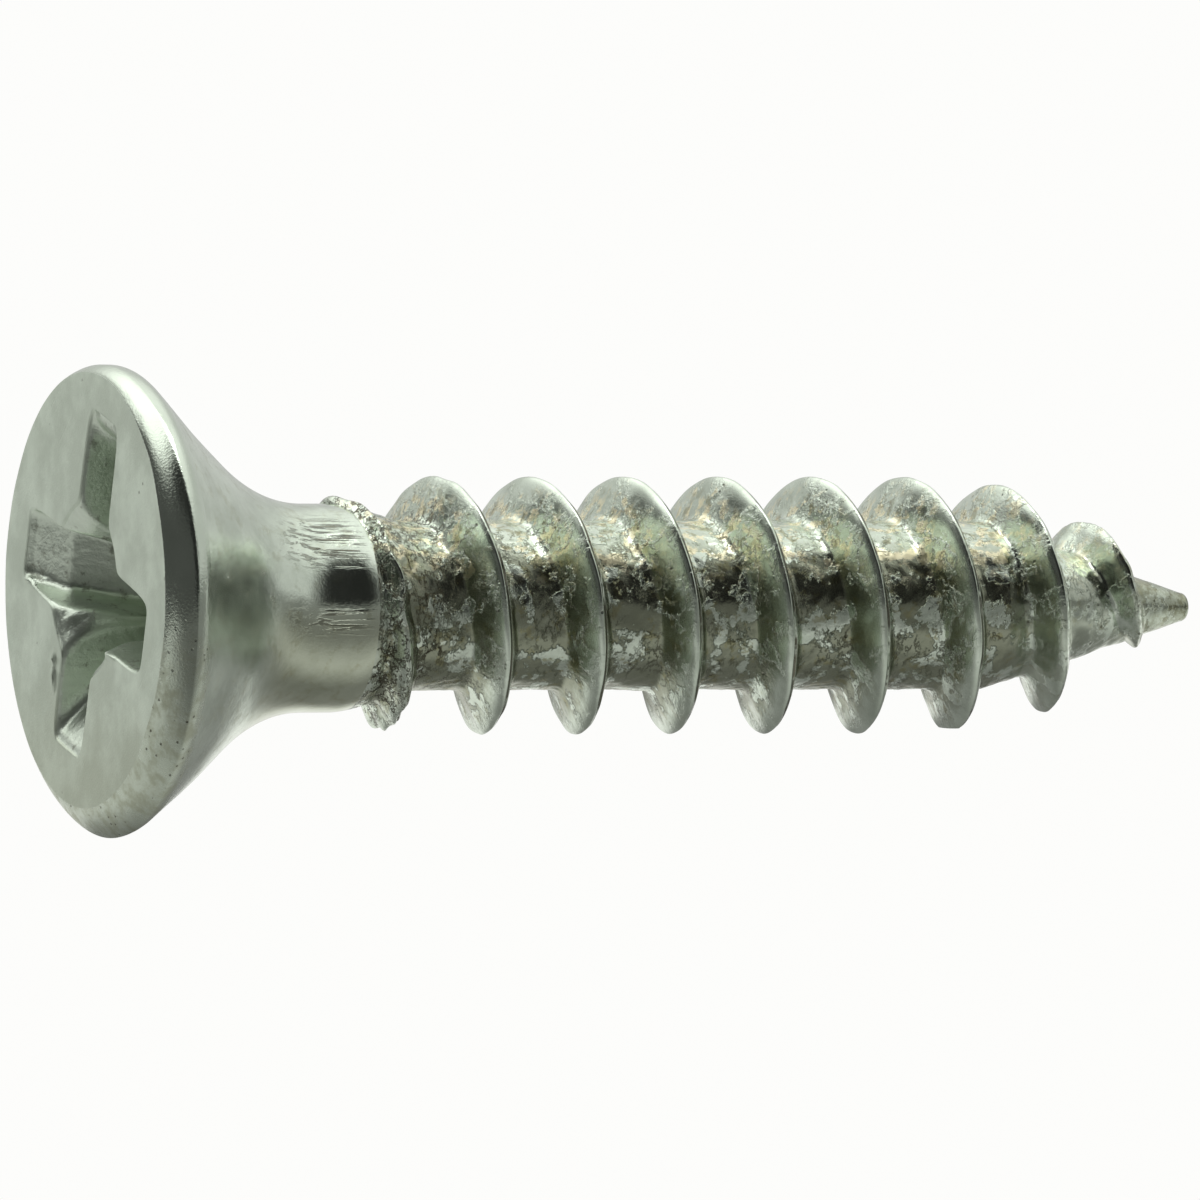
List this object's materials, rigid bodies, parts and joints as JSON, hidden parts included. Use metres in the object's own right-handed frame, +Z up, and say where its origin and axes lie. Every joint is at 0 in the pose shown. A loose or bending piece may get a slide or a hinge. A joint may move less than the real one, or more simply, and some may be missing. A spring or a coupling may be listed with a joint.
{
  "type": "wood screw",
  "caption": "Countersunk flat-head wood screw with a cross recess, a short plain shank, a coarse rolled thread and a pointed tip, in bright zinc-plated steel.",
  "frame": {"origin": "centre of the head's flat face, on the screw's axis", "axes": "+X along the axis from the head to the tip, +Z up with the screw lying on its side, Y across"},
  "size_m": [0.0191, 0.0074, 0.0074],
  "materials": {
    "bright_plating": "bright zinc plating, smooth and faintly scratched",
    "satin_plating": "zinc plating over rolled metal, satin with torn marks",
    "thread_plating": "zinc plating with olive stains and pits in the thread's root"
  },
  "bodies": {
    "root": {"head": "bright_plating", "neck": "bright_plating", "shank": "bright_plating", "shoulder": "satin_plating", "core": "thread_plating", "point": "satin_plating", "thread_start": "satin_plating", "thread": "thread_plating", "point_thread": "satin_plating"}
  },
  "joints": []
}
